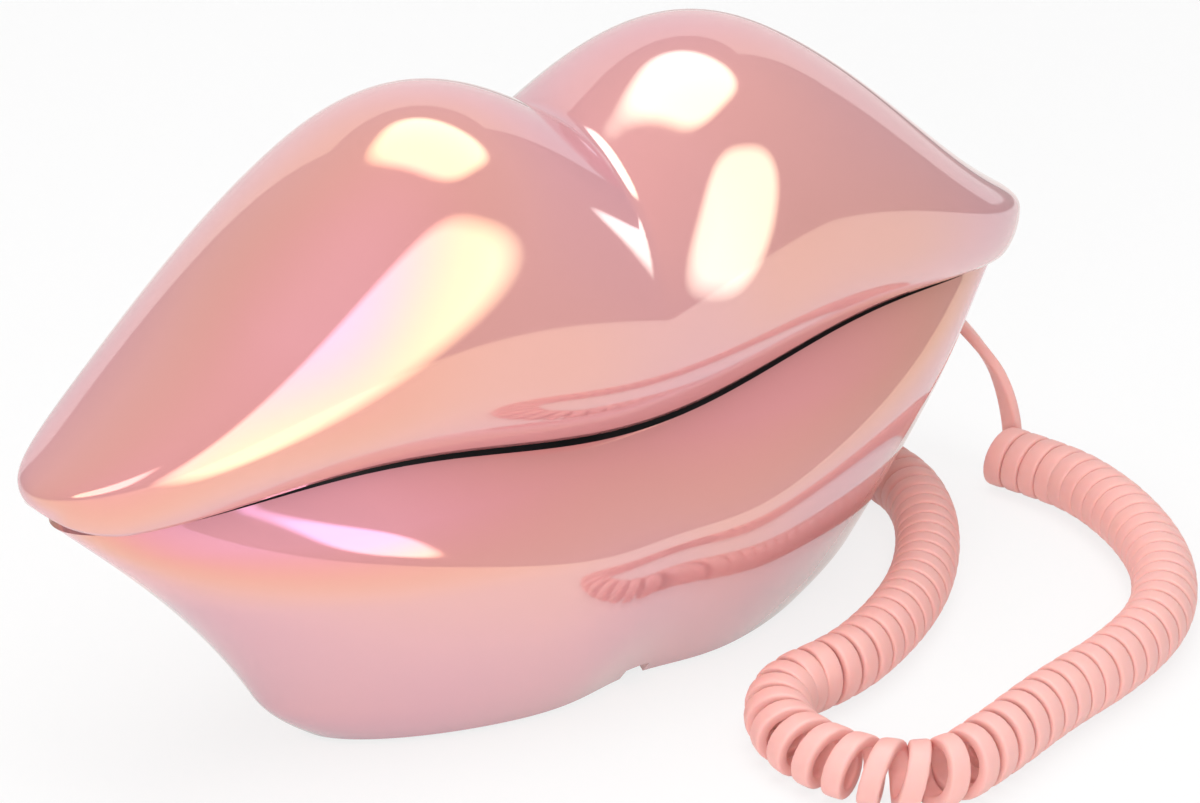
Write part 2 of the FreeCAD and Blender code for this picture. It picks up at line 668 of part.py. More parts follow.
node("bottom_plate", cut("bottom_plate", bottom_blank, bottom_cuts))
ringer_case = cylinder("ringer_case", "ringer_radius", "ringer_height", "0", RINGER_Y, BOTTOM_TOP)
ringer_port = cylinder("ringer_port", "ringer_port_radius", "ringer_height", "0", RINGER_Y,
                       BOTTOM_TOP + " + ringer_floor")
node("ringer", cut("ringer", ringer_case, [ringer_port]))

# Line jack and ringer switch at the rear
jack_length = JACK_MOUTH - size("jack_inner_y")
jack_block = box("jack_block", "jack_width", jack_length, "jack_height", "jack_x",
                 "jack_inner_y + %f" % (jack_length / 2), "jack_floor")
SOCKET_Y = "%f - jack_socket_depth / 2" % JACK_MOUTH
SOCKET_Z = "jack_floor + (jack_height - jack_socket_height) / 2"
jack_socket = box("jack_socket", "jack_socket_width", "jack_socket_depth", "jack_socket_height", "jack_x", SOCKET_Y,
                  SOCKET_Z)
jack_key = box("jack_key", "jack_socket_width / 2", "jack_socket_depth", "jack_socket_height", "jack_x", SOCKET_Y,
               SOCKET_Z + " - jack_key_depth")
node("line_jack", cut("line_jack", jack_block, [jack_socket, jack_key]))
KNOB_INNER = KNOB_REAR - size("knob_depth")
node("ringer_switch", box("ringer_switch", "ringer_switch_width",
                          "%f - clearance - ringer_switch_inner_y" % KNOB_INNER, "ringer_switch_height", "0",
                          "(%f - clearance + ringer_switch_inner_y) / 2" % KNOB_INNER, "ringer_switch_floor"))
node("ringer_knob", box("ringer_knob", "knob_length", "knob_depth + knob_proud", "knob_height", "0",
                        "%f + (knob_depth + knob_proud) / 2" % KNOB_INNER,
                        "ringer_switch_floor + (ringer_switch_height - knob_height) / 2"))

# Curly cord

CURL_Z = size("curl_radius") + size("wire") / 2 + size("cord_lift")
FLOOR_Z = size("wire") / 2 + size("cord_lift") / 2
CURL_ROUTE = [Vector(x, y, CURL_Z) for x, y in (
    (111.5, -2.5), (113.5, -11), (115, -24), (110, -43), (100, -61), (85, -75), (66, -82.5), (46, -86), (29, -91),
    (11, -95), (1, -84), (-1, -66), (9, -53), (26, -52.5), (42, -46.5), (57, -38), (70, -27), (81, -14), (88, 0),
    (88, 16), (80, 30))]
SLEEVE_REACH = size("sleeve_proud") + size("sleeve_tip")
HANDSET_END = Vector(size("handset_sleeve_x"), HANDSET_REAR + SLEEVE_REACH, size("handset_sleeve_z"))
BASE_END = Vector(size("base_sleeve_x"), BASE_REAR + SLEEVE_REACH, size("base_sleeve_z"))
HANDSET_TAIL = [HANDSET_END, Vector(84, 43, 69), Vector(104, 38, 48), Vector(115, 6.5, 27)]
BASE_TAIL = [BASE_END, Vector(42, 43, 13), Vector(48, 51, FLOOR_Z), Vector(66, 51, FLOOR_Z)]
TAIL_ROUND = 0.45


def route_curve(points):
    """Smooth line that the route's points pull along."""
    spans = len(points) - 2
    curve = Part.BSplineCurve()
    curve.buildFromPolesMultsKnots(points, [3] + [1] * (spans - 1) + [3], list(range(spans + 1)), False, 2)
    return curve


def end_ease(distance, length):
    """Share of the full curl at a distance along the axis: none at the base's end."""
    return min(1.0, (length - distance) / size("curl_ease"))


def turn_marks(axis):
    """Turns wound so far at each of many even distances along the axis."""
    length = axis.length()
    count = 4000
    step = length / count
    turn = 0.0
    marks = []
    for i in range(count + 1):
        share = i / count
        bump = math.exp(-((share - size("curl_open_middle")) / size("curl_open_width")) ** 2)
        pitch = size("curl_pitch") + (size("curl_pitch_open") - size("curl_pitch")) * bump
        pitch *= 1 + size("curl_ease_stretch") * (1 - end_ease(share * length, length))
        marks.append((turn, share * length))
        turn += step / pitch
    return marks


def helix_point(axis, distance, angle, radius):
    """Point of the wire at a distance along the axis."""
    parameter = axis.parameterAtDistance(distance, axis.FirstParameter)
    centre = axis.value(parameter)
    tangent = Vector(*axis.tangent(parameter)[0])
    side = Vector(0, 0, 1).cross(tangent).normalize()
    return centre + (side * math.cos(angle) + Vector(0, 0, 1) * math.sin(angle)) * radius


def wire_points(axis):
    """Fine points along the curly wire, with its radius drawn in to the axis at the base's end."""
    marks = turn_marks(axis)
    total, length = marks[-1]
    per_turn = 48
    points = []
    index = 0
    for i in range(int(total * per_turn) + 1):
        turn = i / per_turn
        while index < len(marks) - 2 and marks[index + 1][0] < turn:
            index += 1
        (t0, d0), (t1, d1) = marks[index], marks[index + 1]
        distance = d0 + (d1 - d0) * (turn - t0) / (t1 - t0)
        ease = end_ease(distance, length)
        radius = size("curl_radius") * ease * ease * (3 - 2 * ease)
        points.append(helix_point(axis, distance, -2 * math.pi * turn, radius))
    return points, per_turn


def arc_through(start, direction, end):
    """Arc that leaves start in a direction and reaches end, and its direction there."""
    chord = end - start
    along = chord.normalize()
    reach = (end - start).Length
    cosine = max(-1.0, min(1.0, along.dot(direction)))
    finish = along * (2 * cosine) - direction
    if cosine > 0.99999:
        return Part.LineSegment(start, end).toShape(), finish, float("inf")
    half = math.acos(cosine)
    outward = (direction - along * cosine).normalize()
    middle = (start + end) * 0.5 + outward * (reach / 2 * math.tan(half / 2))
    return Part.Arc(start, middle, end).toShape(), finish, reach / 2 / math.sin(half)


def biarc(start, d0, end, d1):
    """Two arcs that join two points in their own directions."""
    chord = end - start
    both = d0 + d1
    spread = 2 * (1 - d0.dot(d1))
    ahead = chord.dot(both)
    if spread < 1e-6:
        reach = chord.Length ** 2 / (4 * chord.dot(d1))
    else:
        reach = (-ahead + math.sqrt(ahead * ahead + spread * chord.Length ** 2)) / spread
    joint = (start + end + (d0 - d1) * reach) * 0.5
    first, _, r0 = arc_through(start, d0, joint)
    second, _, r1 = arc_through(end, d1 * -1, joint)
    second.reverse()
    return [first, second], min(r0, r1)


def tube(edges, start, direction):
    """Round tube along joined edges."""
    profile = Part.Wire([Part.Circle(start, direction, size("wire") / 2).toShape()])
    pipe = Part.BRepOffsetAPI.MakePipeShell(Part.Wire(edges))
    pipe.add(profile)
    pipe.build()
    pipe.makeSolid()
    return pipe.shape()


def curls():
    """Curly stretch as one unbroken tube on biarcs of a quarter turn."""
    axis = route_curve(CURL_ROUTE)
    points, per_turn = wire_points(axis)
    least = float("inf")
    reach = per_turn // 2
    for i in range(0, len(points), 3):
        for j in range(i + reach, min(len(points), i + 3 * per_turn), 3):
            least = min(least, (points[i] - points[j]).Length)
    print("curls: turns %.1f, least gap %.2f mm" % (len(points) / per_turn, least - size("wire")))
    picks = list(range(0, len(points) - per_turn // 8, per_turn // 4)) + [len(points) - 1]
    ends = [(points[i], (points[min(i + 1, len(points) - 1)] - points[max(i - 1, 0)]).normalize()) for i in picks]
    first_way = (points[1] - points[0]).normalize()
    last_way = Vector(*axis.tangent(axis.LastParameter)[0])
    ends[0] = (points[0], first_way)
    ends[-1] = (points[-1], last_way)
    edges = []
    tightest = float("inf")
    for (p0, d0), (p1, d1) in zip(ends, ends[1:]):
        pair, radius = biarc(p0, d0, p1, d1)
        edges += pair
        tightest = min(tightest, radius)
    end = points[-1] + last_way * size("curl_lead")
    edges.append(Part.LineSegment(points[-1], end).toShape())
    print("curls: edges %d, tightest radius %.2f mm" % (len(edges), tightest))
    before, after = points[0] - first_way * size("tail_drop"), end + last_way * size("tail_lead")
    return tube(edges, points[0], first_way), [before, points[0]], [after, end]


def tail(name, points):
    """Plain stretch of cord: straight runs joined by tangent arcs."""
    edges = []
    at = points[0]
    for before, corner, after in zip(points, points[1:], points[2:]):
        inward, outward = (corner - before).normalize(), (after - corner).normalize()
        turn = math.acos(max(-1.0, min(1.0, inward.dot(outward))))
        setback = TAIL_ROUND * min((corner - before).Length, (after - corner).Length)
        enter, leave = corner - inward * setback, corner + outward * setback
        print("%s: arc radius %.1f mm" % (name, setback / math.tan(turn / 2)))
        edges.append(Part.LineSegment(at, enter).toShape())
        edges.append(arc_through(enter, inward, leave)[0])
        at = leave
    edges.append(Part.LineSegment(at, points[-1]).toShape())
    shape = tube(edges, points[0], (points[1] - points[0]).normalize())
    run = sum(e.Length for e in edges)
    print("%s: length %.0f mm, volume over section times length %.3f" % (
        name, run, shape.Volume / (math.pi * (size("wire") / 2) ** 2 * run)))
    return shape


curl_shape, curl_start, curl_end = curls()
node("cord_curls", solid("cord_curls", curl_shape))
node("cord_tail_handset", solid("cord_tail_handset", tail("cord_tail_handset", HANDSET_TAIL + curl_start)))
node("cord_tail_base", solid("cord_tail_base", tail("cord_tail_base", BASE_TAIL + curl_end)))

# Check and write
doc.recompute()
for obj in doc.Objects:
    if "Invalid" in obj.State or "Error" in obj.State:
        raise RuntimeError("%s is %s" % (obj.Name, obj.State))
os.makedirs("parts", exist_ok=True)
for name, obj in NODES.items():
    shape = obj.Shape
    if shape.isNull() or not shape.isValid() or shape.Volume < 0.5:
        raise RuntimeError("%s has no good solid" % name)
    print("%-20s solids %d volume %9.1f  z %.2f to %.2f" % (
        name, len(shape.Solids), shape.Volume, shape.BoundBox.ZMin, shape.BoundBox.ZMax))
    shape.exportStep("parts/%s.step" % name)
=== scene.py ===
"""Dressed scene of a corded telephone shaped like a pair of lips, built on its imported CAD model."""

import json
import math

import bmesh
import bpy
from mathutils import Matrix, Vector


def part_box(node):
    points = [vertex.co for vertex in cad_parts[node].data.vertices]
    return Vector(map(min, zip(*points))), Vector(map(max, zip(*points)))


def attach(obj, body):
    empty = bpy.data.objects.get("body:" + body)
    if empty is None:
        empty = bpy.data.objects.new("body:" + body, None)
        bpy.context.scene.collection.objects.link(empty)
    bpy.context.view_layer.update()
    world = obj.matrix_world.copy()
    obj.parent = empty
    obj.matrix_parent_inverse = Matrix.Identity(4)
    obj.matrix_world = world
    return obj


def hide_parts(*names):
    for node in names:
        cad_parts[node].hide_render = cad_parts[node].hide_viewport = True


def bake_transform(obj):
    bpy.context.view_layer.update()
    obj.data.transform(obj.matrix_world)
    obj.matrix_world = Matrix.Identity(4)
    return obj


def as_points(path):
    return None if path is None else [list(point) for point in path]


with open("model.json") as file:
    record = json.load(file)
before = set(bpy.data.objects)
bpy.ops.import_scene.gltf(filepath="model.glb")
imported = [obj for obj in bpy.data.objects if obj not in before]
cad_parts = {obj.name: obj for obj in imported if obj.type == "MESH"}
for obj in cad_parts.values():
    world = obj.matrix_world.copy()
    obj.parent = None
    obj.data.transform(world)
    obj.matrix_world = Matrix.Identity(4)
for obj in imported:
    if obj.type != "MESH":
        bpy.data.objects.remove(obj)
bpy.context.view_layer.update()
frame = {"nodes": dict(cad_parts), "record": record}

bl_info = {
    "name": "Lips Telephone",
    "version": (1, 0, 0),
    "blender": (4, 5, 0),
    "location": "View3D > Sidebar > Lips Telephone",
    "description": "Builds a corded telephone shaped like a pair of lips on its CAD frame",
    "category": "Object",
}


# Sizes and colours


def length(name, description, default):
    """Length setting in metres."""
    return bpy.props.FloatProperty(
        name=name, description=description, default=default, unit="LENGTH", precision=5)


def share(name, description, default):
    """Plain ratio setting."""
    return bpy.props.FloatProperty(name=name, description=description, default=default, precision=4)


def colour(name, description, default):
    """Linear colour setting."""
    return bpy.props.FloatVectorProperty(
        name=name, description=description, default=default, size=3, subtype="COLOR", min=0.0, max=1.0)


class LipsSizes(bpy.types.PropertyGroup):
    """Shape of the two lips."""

    half_length: length("Half length", "Middle of the lips to a corner", 0.1125)
    half_depth: length("Half depth", "Upper lip's depth to the front or the rear", 0.033)
    wall: length("Wall", "Thickness of the lip shells", 0.0022)
    corner_solid: length("Solid corner", "Half depth under which the corners have no room for a wall", 0.003)
    mouth_height: length("Mouth height", "Mouth line above the table in the middle", 0.0538)
    mouth_tip_rise: length("Corner rise", "Rise of the mouth line towards the corners", 0.00105)
    mouth_wave: length("Mouth wave", "Height of the mouth line's wave", 0.00544)
    mouth_gap: length("Mouth gap", "Open gap in the middle of the mouth line", 0.0015)
    mouth_gap_tip: length("Corner gap", "Open gap at the corners", 0.0006)
    dome_low: length("Low dome", "Share of the upper lip's height that reaches the corners", 0.0132)
    dome_high: length("High dome", "Share of the upper lip's height that stays in the middle", 0.0407)
    bow_depth: share("Bow depth", "Depth of the dip between the two peaks", 0.33)
    bow_reach: share("Bow reach", "Share of the half length that the dip takes", 0.43)
    bow_soft: share("Bow softness", "Rounding of the dip's floor on top", 0.05)
    bulge_rise: length("Bulge rise", "Mouth line to the upper lip's fullest height", 0.014)
    edge_angle: bpy.props.FloatProperty(
        name="Edge angle", description="How far the upper lip rolls under",
        default=math.radians(34.7), subtype="ANGLE")
    roundness: share("Roundness", "Exponent of the upper lip's cross section", 0.95)
    tip_share: share("Corner share", "Share of the half length in which the corner closes", 0.12)
    corner_close: share("Closing start", "Share of the half length where the upper lip starts to close", 0.97)
    foot_gap: length("Foot gap", "Lower lip's edge above the table", 0.0008)
    foot_half_length: length("Foot half length", "Half length of the lower lip at its foot", 0.0655)
    foot_half_depth: length("Foot half depth", "Half depth of the lower lip at its foot", 0.0235)
    foot_forward: length("Foot offset", "Offset of the foot from the lips' middle plane", -0.0031)
    foot_fullness: share("Foot fullness", "How round the foot's plan is", 0.76)
    toe_round: length("Toe rounding", "Drawn-in end of the foot", 0.006)
    toe_level: share("Toe level", "Share of the height that the toe rounding takes", 0.16)
    rim_half_length: length("Rim half length", "Half length of the lower lip's rim", 0.1073)
    rim_half_depth: length("Rim half depth", "Half depth of the lower lip's rim", 0.027)
    belly_half_depth: length("Belly half depth", "Half depth of the lower lip at its fullest", 0.0395)
    belly_level: share("Belly level", "Share of the height at which the belly lies", 0.63)
    flare_power: share("Flare power", "How late the lower lip's ends flare out", 1.31)
    chin_dimple: length("Chin dimple", "Dip in the front of the foot", 0.0041)
    chin_width: length("Chin width", "Width of that dip", 0.014)
    chin_notch: length("Chin notch", "Width of the notch in the front edge", 0.0055)
    chin_notch_height: length("Chin notch height", "Height of the notch in the front edge", 0.0025)


class CordSizes(bpy.types.PropertyGroup):
    """Flat ribbon of the curly cord."""

    ribbon_width: length("Ribbon width", "Width of the flat cord", 0.0039)
    ribbon_thick: length("Ribbon thickness", "Thickness of the flat cord", 0.0023)
    curl_radius: length("Curl radius", "Axis of the curls to the middle of the ribbon", 0.0051)
    curl_pitch: length("Pitch", "Advance of one closed curl", 0.0043)
    curl_pitch_open: length("Open pitch", "Advance of one stretched curl", 0.0058)
    curl_open_middle: share("Stretched place", "Share of the curls at which they are stretched most", 0.5)
    curl_open_width: share("Stretched width", "Share of the curls that is stretched", 0.11)
    curl_ease: length("End ease", "Length in which the ribbon leaves the curls", 0.0108)
    curl_ease_stretch: share("End stretch", "Extra pitch at the last curls", 1.5)
    tail_drop: length("Drop", "Straight drop into the first curl", 0.008)
    tail_twist: length("Twist length", "Length in which the flat cord turns to its tail's lie", 0.03)


class LipsColours(bpy.types.PropertyGroup):
    """Colours of the telephone."""

    rose: colour("Rose", "Deep tone of the pearl film", (0.77, 0.32, 0.36))
    peach: colour("Peach", "Warm tone of the pearl film", (0.78, 0.37, 0.35))
    cord: colour("Cord", "Flat cord and its sleeves", (0.86, 0.47, 0.43))
    black: colour("Black", "Moulded inner plates", (0.012, 0.012, 0.013))
    key: colour("Keys", "Key caps", (0.80, 0.77, 0.75))
    ink: colour("Ink", "Figures on the keys", (0.02, 0.02, 0.022))
    floor: colour("Floor", "Table top", (0.92, 0.92, 0.92))


# Fineness of the meshes

UPPER_GRID = (200, 88)
LOWER_GRID = (240, 56)
RIBBON_SIDES = 20
STEPS_PER_CURL = 30
CURL_STEP = 0.00008
TAIL_STEP = 0.0008


# Camera and cord route, in metres

CAMERA_PLACE = Vector((-0.458066, -0.587723, 0.378325))
CAMERA_AIM = Vector((0.000571, -0.012702, 0.052348))
PHOTO_WIDTH = 1200
PHOTO_FOCAL = 4436.3
SENSOR_WIDTH = 36.0

CURL_Z = 0.0065
FLOOR_Z = 0.0013
HANDSET_TAIL = [
    (0.084, 0.02995, 0.069), (0.084, 0.043, 0.069), (0.104, 0.038, 0.048), (0.115, 0.0065, 0.027)]
CURL_ROUTE = [(x, y, CURL_Z) for x, y in (
    (0.1115, -0.0025), (0.1135, -0.011), (0.115, -0.024), (0.110, -0.043), (0.100, -0.061), (0.085, -0.075),
    (0.066, -0.0825), (0.046, -0.086), (0.029, -0.091), (0.011, -0.095), (0.001, -0.084), (-0.001, -0.066),
    (0.009, -0.053), (0.026, -0.0525), (0.042, -0.0465), (0.057, -0.038), (0.070, -0.027), (0.081, -0.014),
    (0.088, 0.0), (0.088, 0.016), (0.080, 0.030))]
BASE_TAIL = [
    (0.0728, 0.0427, CURL_Z), (0.066, 0.051, FLOOR_Z), (0.048, 0.051, FLOOR_Z), (0.042, 0.043, 0.013),
    (0.042, 0.0302, 0.013)]


# Making meshes


def sizes():
    """Shape settings of the scene."""
    return bpy.context.scene.lips_sizes


def colours():
    """Colour settings of the scene."""
    return bpy.context.scene.lips_colours


def add_piece(name, bm, material):
    """Object at the origin from a finished bmesh."""
    mesh = bpy.data.meshes.new(name)
    bm.to_mesh(mesh)
    bm.free()
    mesh.materials.append(material)
    mesh.shade_smooth()
    piece = bpy.data.objects.new(name, mesh)
    bpy.context.scene.collection.objects.link(piece)
    return piece


def laid_grid(columns, rows, place):
    """Grid whose vertices are laid on a surface by their two shares."""
    bm = bmesh.new()
    bmesh.ops.create_grid(bm, x_segments=columns, y_segments=rows, size=0.5)
    for vert in bm.verts:
        vert.co = place(vert.co.x + 0.5, vert.co.y + 0.5)
    bmesh.ops.remove_doubles(bm, verts=bm.verts, dist=1e-6)
    bmesh.ops.dissolve_degenerate(bm, edges=bm.edges, dist=1e-7)
    bmesh.ops.recalc_face_normals(bm, faces=bm.faces)
    return bm


def power(value, exponent):
    """Power that keeps the sign."""
    return math.copysign(abs(value) ** exponent, value)


def bake_modifiers(piece):
    """Keep what the modifiers make as the piece's own mesh."""
    depsgraph = bpy.context.evaluated_depsgraph_get()
    baked = bpy.data.meshes.new_from_object(piece.evaluated_get(depsgraph))
    piece.modifiers.clear()
    old = piece.data
    piece.data = baked
    bpy.data.meshes.remove(old)


def thicken(piece):
    """Give a lip its wall, thinned towards the corners where the two sides meet."""
    s = sizes()
    full_wall_depth = 4 * s.wall
    least_share = 0.02
    room = piece.vertex_groups.new(name="wall")
    for vert in piece.data.vertices:
        depth = s.half_depth * math.sqrt(max(0.0, 1 - (vert.co.x / s.half_length) ** 2))
        fill = max(0.0, min(1.0, (depth - s.corner_solid) / full_wall_depth))
        room.add([vert.index], fill, "REPLACE")
    wall = piece.modifiers.new("wall", "SOLIDIFY")
    wall.thickness = s.wall
    wall.offset = -1.0
    wall.vertex_group = room.name
    wall.thickness_vertex_group = least_share
    bake_modifiers(piece)
    piece.vertex_groups.clear()


def cut_away(piece, cutters):
    """Cut boxes and rounds out of a piece and drop them."""
    for cutter in cutters:
        opening = piece.modifiers.new(cutter.name, "BOOLEAN")
        opening.operation = "DIFFERENCE"
        opening.solver = "EXACT"
        opening.object = cutter
    bake_modifiers(piece)
    for cutter in cutters:
        bpy.data.objects.remove(cutter)


def box_cutter(name, low, high):
    """Block between two corners."""
    bm = bmesh.new()
    bmesh.ops.create_cube(bm, size=1.0)
    bmesh.ops.scale(bm, vec=Vector(high) - Vector(low), verts=bm.verts)
    bmesh.ops.translate(bm, vec=(Vector(low) + Vector(high)) / 2, verts=bm.verts)
    mesh = bpy.data.meshes.new(name)
    bm.to_mesh(mesh)
    bm.free()
    cutter = bpy.data.objects.new(name, mesh)
    bpy.context.scene.collection.objects.link(cutter)
    return cutter


# Shape of the lips


def mouth_line(u):
    """Height of the mouth line at share u of the half length."""
    s = sizes()
    wave = s.mouth_tip_rise * (1 - math.cos(math.pi * u)) / 2
    return s.mouth_height + wave + s.mouth_wave * (1 - math.cos(2 * math.pi * u)) / 2


def lower_rim(u):
    """Height of the lower lip's rim."""
    s = sizes()
    return mouth_line(u) - s.mouth_gap + (s.mouth_gap - s.mouth_gap_tip) * u * u


def upper_point(along, around):
    """Point of the upper lip: along from corner to corner, around from front edge to rear edge."""
    s = sizes()
    x = s.half_length * math.sin((along - 0.5) * math.pi)
    u = abs(x) / s.half_length
    c = math.sqrt(max(0.0, 1 - u * u))
    closed_early = 1.25
    closing = max(0.0, min(1.0, (u - s.corner_close) / (1 - s.corner_close) * closed_early))
    roll = s.edge_angle + (math.pi / 2 - s.edge_angle) * closing * closing * (3 - 2 * closing)
    angle = -roll + (math.pi + 2 * roll) * around
    soft = s.bow_soft * max(0.0, math.sin(angle)) ** 2
    from_middle = math.hypot(u, soft) - soft * soft / (soft + u + 1e-9)
    lobe = 1 - s.bow_depth * max(0.0, 1 - from_middle / s.bow_reach) ** 2
    rise = (s.dome_low * c + s.dome_high * c ** 4) * lobe
    belly = mouth_line(u) + s.bulge_rise * (1 - 0.5 * u * u)
    tip_start = 1 - s.tip_share
    tip = 1.0 if u < tip_start else math.sqrt(max(0.0, 1 - ((u - tip_start) / s.tip_share) ** 2))
    drop = (belly - mouth_line(u)) / math.sin(roll) ** s.roundness * tip
    y = -s.half_depth * c * power(math.cos(angle), s.roundness)
    reach = rise if math.sin(angle) > 0 else drop
    return Vector((x, y, belly + reach * power(math.sin(angle), s.roundness)))


def lower_point(around, level):
    """Point of the lower lip: around from the rear, level from foot to rim."""
    s = sizes()
    angle = math.pi / 2 + 2 * math.pi * around
    toe = s.toe_round * max(0.0, 1 - level / s.toe_level) ** 2
    reach = s.foot_half_length + (s.rim_half_length - s.foot_half_length) * level ** s.flare_power - toe
    if level < s.belly_level:
        swell = math.sin(level / s.belly_level * math.pi / 2)
        depth = s.foot_half_depth + (s.belly_half_depth - s.foot_half_depth) * swell
    else:
        swell = math.cos((level - s.belly_level) / (1 - s.belly_level) * math.pi / 2)
        depth = s.rim_half_depth + (s.belly_half_depth - s.rim_half_depth) * swell
    side = math.sin(angle)
    full = s.foot_fullness + (1 - s.foot_fullness) * level
    x = reach * math.cos(angle)
    bow = math.copysign(full * abs(side) + (1 - full) * side * side, side)
    y = s.foot_forward * (1 - level) + bow * depth
    if side < 0:
        y += s.chin_dimple * (1 - level) * math.exp(-(x / s.chin_width) ** 2)
    u = min(1.0, abs(x) / s.half_length)
    return Vector((x, y, s.foot_gap + level * (lower_rim(u) - s.foot_gap)))


# Shader building


class Shader:
    """Material with a Principled BSDF and short calls to add nodes to it."""

    def __init__(self, name):
        self.material = bpy.data.materials.new(name)
        self.material.use_nodes = True
        self.tree = self.material.node_tree
        self.bsdf = self.tree.nodes["Principled BSDF"]

    def set(self, **values):
        for socket, value in values.items():
            self.bsdf.inputs[socket.replace("_", " ")].default_value = value
        return self

    def add(self, kind, **settings):
        node = self.tree.nodes.new(kind)
        for key, value in settings.items():
            setattr(node, key, value)
        return node

    def link(self, output, target):
        self.tree.links.new(output, target)

    def coordinates(self):
        return self.add("ShaderNodeTexCoord").outputs["Object"]

    def noise(self, scale, detail=2.0):
        node = self.add("ShaderNodeTexNoise")
        node.inputs["Scale"].default_value = scale
        node.inputs["Detail"].default_value = detail
        self.link(self.coordinates(), node.inputs["Vector"])
        return node.outputs["Fac"]

    def mix_colours(self, factor, first, second):
        node = self.add("ShaderNodeMix", data_type="RGBA")
        node.inputs[6].default_value = (*first, 1.0)
        node.inputs[7].default_value = (*second, 1.0)
        self.link(factor, node.inputs[0])
        return node.outputs[2]

    def remap(self, value, low, high, to_low, to_high):
        node = self.add("ShaderNodeMapRange")
        for index, number in enumerate((low, high, to_low, to_high), start=1):
            node.inputs[index].default_value = number
        self.link(value, node.inputs[0])
        return node.outputs[0]

    def maths(self, operation, first, second=None):
        node = self.add("ShaderNodeMath", operation=operation)
        self.link(first, node.inputs[0])
        if isinstance(second, float):
            node.inputs[1].default_value = second
        elif second:
            self.link(second, node.inputs[1])
        return node.outputs[0]

    def bump(self, height, strength, distance):
        node = self.add("ShaderNodeBump")
        node.inputs["Strength"].default_value = strength
        node.inputs["Distance"].default_value = distance
        self.link(height, node.inputs["Height"])
        self.link(node.outputs["Normal"], self.bsdf.inputs["Normal"])

    def grain(self, scale, strength, distance, rough_low, rough_high):
        """Moulded grain: fine bump and uneven gloss from the shared group."""
        node = self.add("ShaderNodeGroup")
        node.node_tree = grain_group()
        node.inputs["Scale"].default_value = scale
        node.inputs["Rough low"].default_value = rough_low
        node.inputs["Rough high"].default_value = rough_high
        self.link(node.outputs["Roughness"], self.bsdf.inputs["Roughness"])
        self.bump(node.outputs["Height"], strength, distance)
        return node.outputs["Mask"]


def grain_group():
    """Shared grain: height, patchy mask and roughness over the surface."""
    group = bpy.data.node_groups.get("moulded_grain")
    if group:
        return group
    group = bpy.data.node_groups.new("moulded_grain", "ShaderNodeTree")
    for name, value in (("Scale", 900.0), ("Rough low", 0.4), ("Rough high", 0.6)):
        group.interface.new_socket(name, in_out="INPUT", socket_type="NodeSocketFloat").default_value = value
    for name in ("Height", "Mask", "Roughness"):
        group.interface.new_socket(name, in_out="OUTPUT", socket_type="NodeSocketFloat")
    enter = group.nodes.new("NodeGroupInput")
    leave = group.nodes.new("NodeGroupOutput")
    place = group.nodes.new("ShaderNodeTexCoord")
    fine = group.nodes.new("ShaderNodeTexNoise")
    patches = group.nodes.new("ShaderNodeTexNoise")
    patches.inputs["Scale"].default_value = 60.0
    patches.inputs["Detail"].default_value = 3.0
    spread = group.nodes.new("ShaderNodeMapRange")
    spread.inputs[1].default_value = 0.35
    spread.inputs[2].default_value = 0.65
    links = group.links
    links.new(place.outputs["Object"], fine.inputs["Vector"])
    links.new(place.outputs["Object"], patches.inputs["Vector"])
    links.new(enter.outputs["Scale"], fine.inputs["Scale"])
    links.new(fine.outputs["Fac"], leave.inputs["Height"])
    links.new(patches.outputs["Fac"], leave.inputs["Mask"])
    links.new(patches.outputs["Fac"], spread.inputs[0])
    links.new(enter.outputs["Rough low"], spread.inputs[3])
    links.new(enter.outputs["Rough high"], spread.inputs[4])
    links.new(spread.outputs[0], leave.inputs["Roughness"])
    return group


def pearl_gloss(name, thin, thick, seam):
    """Pink plastic under an iridescent film, in nanometres, that drifts and gathers at the mouth."""
    paint = Shader(name)
    paint.set(Metallic=0.12, Roughness=0.06, IOR=2.7, Thin_Film_IOR=1.3)
    paint.set(Coat_Weight=0.4, Coat_Roughness=0.03)
    seam_low, seam_high = 0.036, 0.050
    drift = paint.noise(14.0, 1.0)
    split = paint.add("ShaderNodeSeparateXYZ")
    paint.link(paint.coordinates(), split.inputs[0])
    gathered = paint.remap(split.outputs[2], seam_low, seam_high, 0.0, seam)
    film = paint.maths("ADD", paint.remap(drift, 0.3, 0.7, thin, thick), gathered)
    paint.link(film, paint.bsdf.inputs["Thin Film Thickness"])
    paint.link(paint.mix_colours(drift, colours().rose, colours().peach), paint.bsdf.inputs["Base Color"])
    return paint.material


def black_moulding():
    """Black moulded plastic with a fine spark grain."""
    plastic = Shader("black_moulding").set(Specular_IOR_Level=0.2)
    mask = plastic.grain(1400.0, 0.25, 0.0002, 0.42, 0.6)
    black = tuple(colours().black)
    worn = tuple(2 * c for c in black)
    plastic.link(plastic.mix_colours(mask, black, worn), plastic.bsdf.inputs["Base Color"])
    return plastic.material


def cord_vinyl():
    """Matt salmon pink vinyl of the cord and its sleeves."""
    vinyl = Shader("cord_vinyl")
    mask = vinyl.grain(1100.0, 0.12, 0.0002, 0.42, 0.55)
    tone = tuple(colours().cord)
    pale = tuple(min(1.0, c * 1.08) for c in tone)
    vinyl.link(vinyl.mix_colours(mask, tone, pale), vinyl.bsdf.inputs["Base Color"])
    vinyl.set(Subsurface_Weight=0.15, Subsurface_Scale=0.002)
    return vinyl.material


def key_plastic():
    """Satin key caps."""
    plastic = Shader("key_plastic")
    mask = plastic.grain(1500.0, 0.08, 0.0001, 0.3, 0.42)
    tone = tuple(colours().key)
    dull = tuple(0.93 * c for c in tone)
    plastic.link(plastic.mix_colours(mask, tone, dull), plastic.bsdf.inputs["Base Color"])
    return plastic.material


